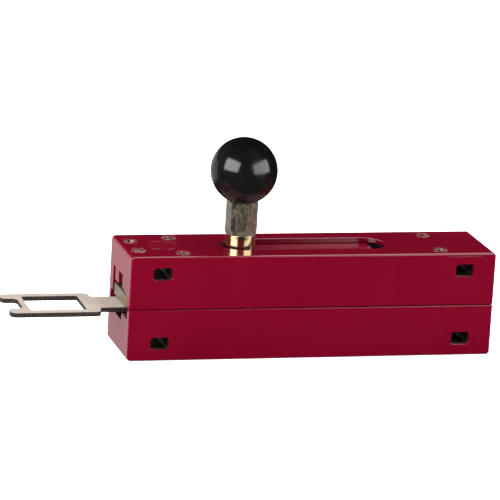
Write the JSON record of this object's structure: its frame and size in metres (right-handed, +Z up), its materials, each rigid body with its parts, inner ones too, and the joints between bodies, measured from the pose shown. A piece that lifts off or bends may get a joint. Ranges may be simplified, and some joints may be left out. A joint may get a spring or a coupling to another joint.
{
  "type": "guard door slide bolt",
  "caption": "Hand-operated slide bolt for a machine guard: red slotted housing, ball-knob post in a deck slot, and a flat interlock key that slides out of one end.",
  "frame": {"origin": "centre of the housing's underside, where the bolt rests", "axes": "+Z up through the knob, +X along the housing away from the key, -Y towards the front face"},
  "size_m": [0.209, 0.038, 0.0915],
  "materials": {
    "housing": "deep red gloss enamel on die-cast metal",
    "sleeve": "zinc-plated steel tube",
    "closing_screw": "zinc-plated steel",
    "deck_screw": "red enamel over steel, worn on the rims",
    "disc": "red enamel, raised rim",
    "end_guide": "red moulded acetal",
    "steel": "ground steel",
    "nylon": "black nylon",
    "buffer": "black rubber",
    "carriage": "pale yellow passivated zinc plate",
    "bush": "sintered bronze",
    "post": "yellow zinc-plated steel, turned and milled",
    "fixing": "zinc-plated steel",
    "knob": "polished black phenolic resin",
    "insert": "turned brass",
    "shutter": "red enamel",
    "key": "tumbled and zinc-plated flat steel"
  },
  "bodies": {
    "housing": {"upper_housing": "housing", "lower_housing": "housing", "mounting_sleeve_1": "sleeve", "mounting_sleeve_2": "sleeve", "mounting_sleeve_3": "sleeve", "mounting_sleeve_4": "sleeve", "closing_screw_1": "closing_screw", "closing_screw_2": "closing_screw", "closing_screw_3": "closing_screw", "closing_screw_4": "closing_screw", "rail_screw_1": "deck_screw", "rail_screw_2": "deck_screw", "rail_screw_3": "deck_screw", "rail_screw_4": "deck_screw", "rod_clamp_screw_front": "deck_screw", "rod_clamp_screw_rear": "deck_screw", "blank_disc": "disc", "end_guide_front": "end_guide", "end_guide_rear": "end_guide", "hold_plunger": "steel", "plunger_spring": "steel", "guide_rod_front": "steel", "guide_rod_rear": "steel", "rod_holder": "nylon", "end_buffer": "buffer", "shutter_rail_front": "nylon", "shutter_rail_rear": "nylon"},
    "bolt": {"bolt_carriage": "carriage", "slide_bush_1": "bush", "slide_bush_2": "bush", "slide_bush_3": "bush", "slide_bush_4": "bush", "handle_post": "post", "post_washer": "fixing", "post_nut": "fixing", "ball_knob": "knob", "knob_insert": "insert", "shutter": "shutter", "interlock_key": "key", "key_screw_1": "fixing", "key_screw_2": "fixing"}
  },
  "joints": [
    {"name": "bolt_slide", "type": "slide", "parent": "housing", "child": "bolt", "axis": [1, 0, 0], "range_m": [0, 0.046]}
  ]
}
